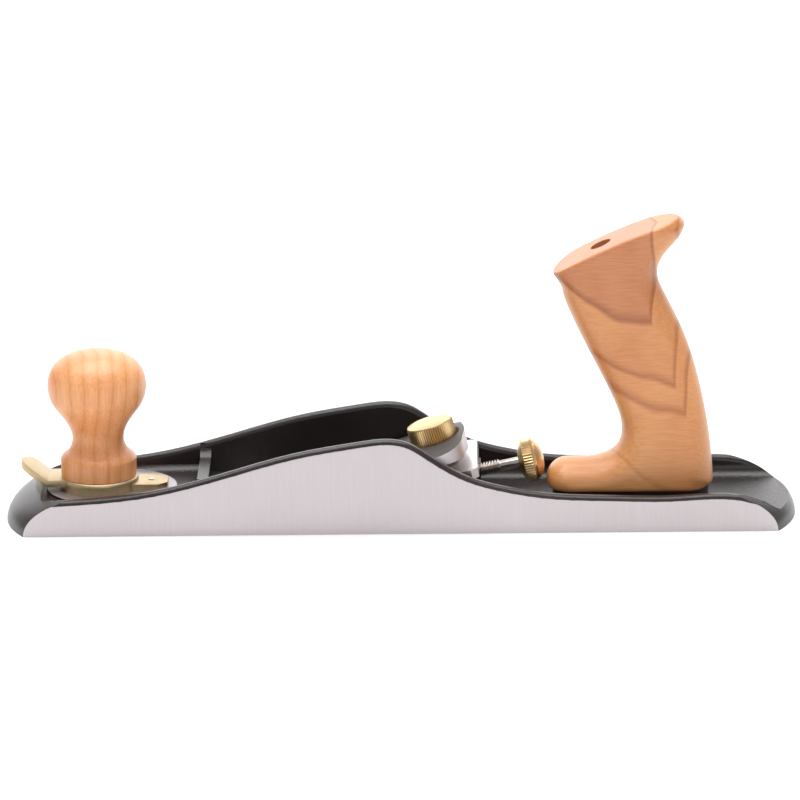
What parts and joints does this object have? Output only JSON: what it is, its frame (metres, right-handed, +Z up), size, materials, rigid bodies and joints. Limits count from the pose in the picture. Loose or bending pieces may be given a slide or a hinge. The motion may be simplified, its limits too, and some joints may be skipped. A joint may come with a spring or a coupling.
{
  "type": "hand plane",
  "caption": "Low-angle bevel-up bench plane: iron body with humped sides, sliding toe plate, brass fittings, wooden front knob and swept rear handle.",
  "frame": {"origin": "centre of the sole, on the plane that it rests on", "axes": "+X toward the heel, +Z up from the sole, +Y across the body to complete the right-handed frame"},
  "size_m": [0.3556, 0.0698, 0.1363],
  "materials": {
    "cast_iron_enamel": "black enamel inside, ground bare iron on sole and sides",
    "ground_iron": "surface ground",
    "satin_iron": "satin, edges polished",
    "tool_steel": "ground and lapped",
    "steel": "turned",
    "brass": "satin",
    "polished_brass": "polished, knurled rims",
    "cherry": "oiled"
  },
  "bodies": {
    "frame": {"body_casting": "cast_iron_enamel", "lever_pivot_pin": "steel", "tote": "cherry", "tote_rod": "steel", "tote_barrel_nut": "brass", "tote_dowel": "steel"},
    "mouth_lever": {"mouth_lever": "brass"},
    "toe": {"toe_plate": "ground_iron", "knob_stud": "steel"},
    "knob": {"front_knob": "cherry", "knob_insert": "brass"},
    "blade": {"blade": "tool_steel"},
    "adjuster": {"adjuster_spindle": "steel", "adjuster_collar": "steel", "adjuster_collar_pin": "steel", "adjuster_knob": "polished_brass"},
    "cap_screw": {"lever_cap_screw": "steel"},
    "cap": {"lever_cap": "satin_iron"},
    "wheel": {"cap_wheel": "polished_brass", "cap_wheel_screw": "steel"}
  },
  "joints": [
    {"name": "mouth_lever_swing", "type": "hinge", "parent": "frame", "child": "mouth_lever", "pos_m": [-0.1125, 0, 0.015], "axis": [0, 0, 1], "range_deg": [-14, 8]},
    {"name": "toe_slide", "type": "slide", "parent": "frame", "child": "toe", "axis": [1, 0, 0], "range_m": [-0.0022, 0.0013]},
    {"name": "knob_turn", "type": "hinge", "parent": "toe", "child": "knob", "pos_m": [-0.136, 0, 0.03], "axis": [0, 0, 1], "range_deg": [0, 360]},
    {"name": "blade_advance", "type": "slide", "parent": "frame", "child": "blade", "axis": [0.9781, 0, 0.2079], "range_m": [-0.002, 0.0015]},
    {"name": "adjuster_turn", "type": "hinge", "parent": "blade", "child": "adjuster", "pos_m": [0.03631, 0, 0.0195], "axis": [0.9781, 0, 0.2079], "range_deg": [-566, 424]},
    {"name": "cap_slide", "type": "slide", "parent": "frame", "child": "cap", "axis": [0.9781, 0, 0.2079], "range_m": [0, 0.012]},
    {"name": "cap_wheel_turn", "type": "hinge", "parent": "cap", "child": "wheel", "pos_m": [0.01497, 0, 0.03525], "axis": [-0.284, 0, 0.9588], "range_deg": [0, 360]},
    {"name": "cap_screw_turn", "type": "hinge", "parent": "frame", "child": "cap_screw", "pos_m": [-0.02798, 0, 0.00936], "axis": [-0.2079, 0, 0.9781], "range_deg": [-360, 360]}
  ],
  "couplings": [
    {"joint": "toe_slide", "follows": "mouth_lever_swing", "m_per_rad": 0.00883},
    {"joint": "blade_advance", "follows": "adjuster_turn", "m_per_rad": 0.00020213}
  ]
}
